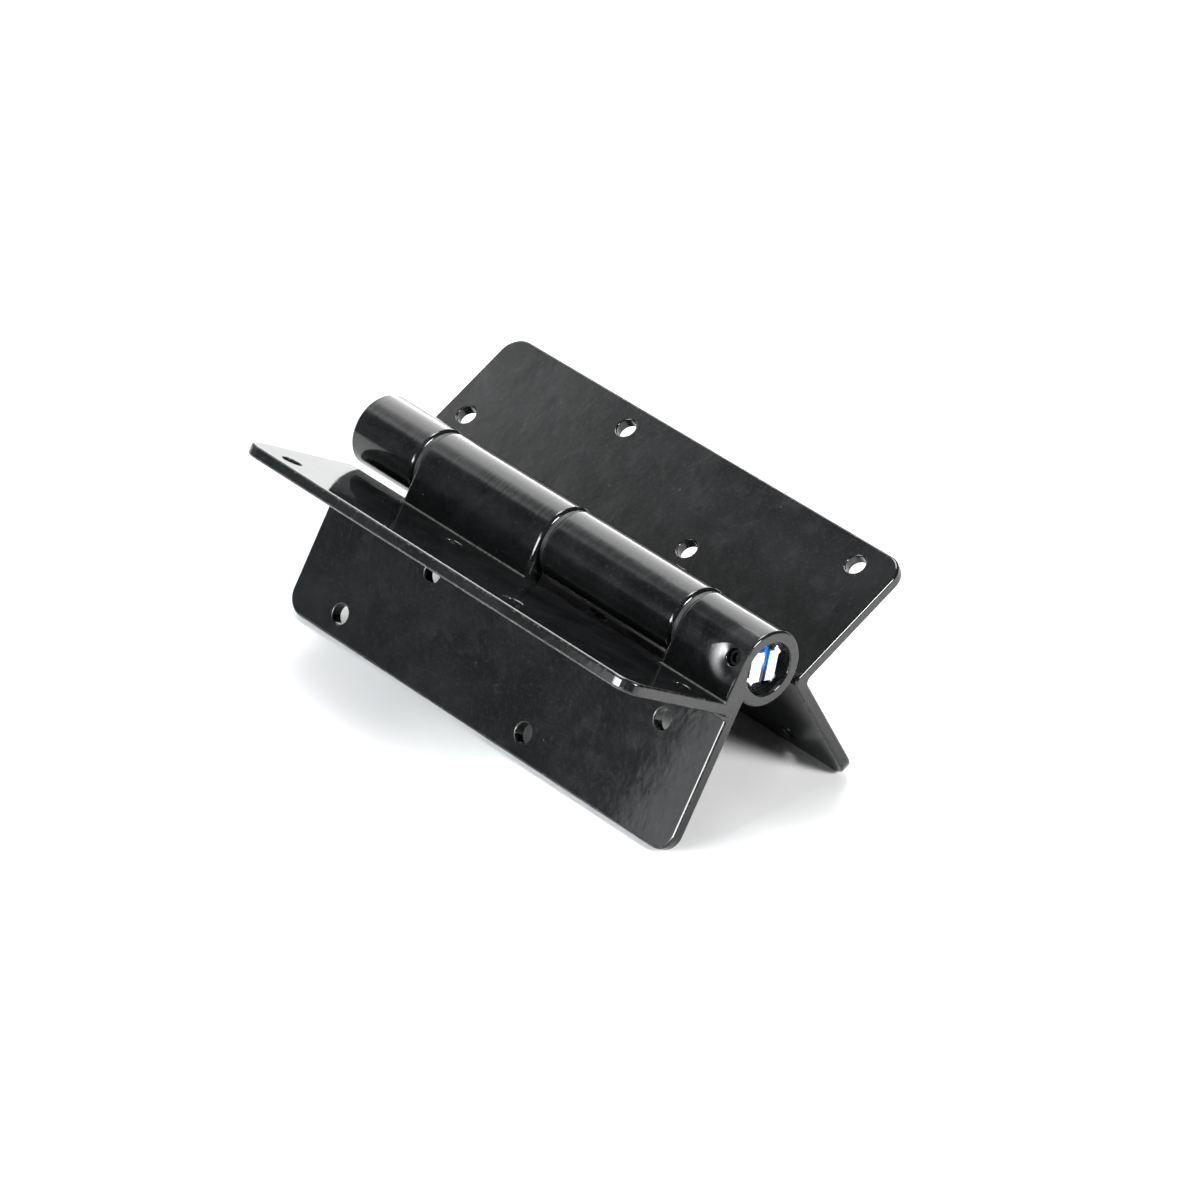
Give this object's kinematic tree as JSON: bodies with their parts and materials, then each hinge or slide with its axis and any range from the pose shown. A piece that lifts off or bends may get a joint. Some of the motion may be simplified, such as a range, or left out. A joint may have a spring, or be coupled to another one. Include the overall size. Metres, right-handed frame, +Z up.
{
  "type": "self-closing hinge",
  "caption": "Black self-closing gate hinge: angled leaves that wrap square posts, a knuckled barrel, and an inner torsion spring set by slotted end plugs.",
  "frame": {"origin": "on the floor under the middle of the barrel, with the hinge standing on the lower edges of its leaves", "axes": "+Y along the barrel, from the near end to the far end; +X from the front leaf to the back leaf; +Z up"},
  "size_m": [0.1146, 0.185, 0.0691],
  "materials": {
    "coat": "gloss black powder coat on steel",
    "bush": "black nylon",
    "tube": "drawn steel tube",
    "plug": "bright zinc plate",
    "screw": "black oxide",
    "spring": "blue lacquered spring steel"
  },
  "bodies": {
    "post_leaf": {"leaf_back": "coat", "lock_screw_far": "screw", "bush_2": "bush", "bush_3": "bush", "bush_6": "bush", "pivot_tube": "tube", "torsion_spring": "spring"},
    "gate_leaf": {"leaf_front": "coat", "lock_screw_near": "screw", "bush_1": "bush", "bush_4": "bush", "bush_5": "bush"},
    "near_plug": {"end_plug_near": "plug"},
    "far_plug": {"end_plug_far": "plug"}
  },
  "joints": [
    {"name": "leaf_swing", "type": "hinge", "parent": "post_leaf", "child": "gate_leaf", "pos_m": [0, 0, 0.05304], "axis": [0, 1, 0], "range_deg": [-60, 120], "stiffness_Nm_per_rad": 0.45, "deforming": ["torsion_spring"]},
    {"name": "near_plug_turn", "type": "hinge", "parent": "gate_leaf", "child": "near_plug", "pos_m": [0, -0.085, 0.05304], "axis": [0, 1, 0], "range_deg": [0, 270], "deforming": ["torsion_spring"]},
    {"name": "far_plug_turn", "type": "hinge", "parent": "post_leaf", "child": "far_plug", "pos_m": [0, 0.085, 0.05304], "axis": [0, -1, 0], "range_deg": [0, 270], "deforming": ["torsion_spring"]}
  ]
}
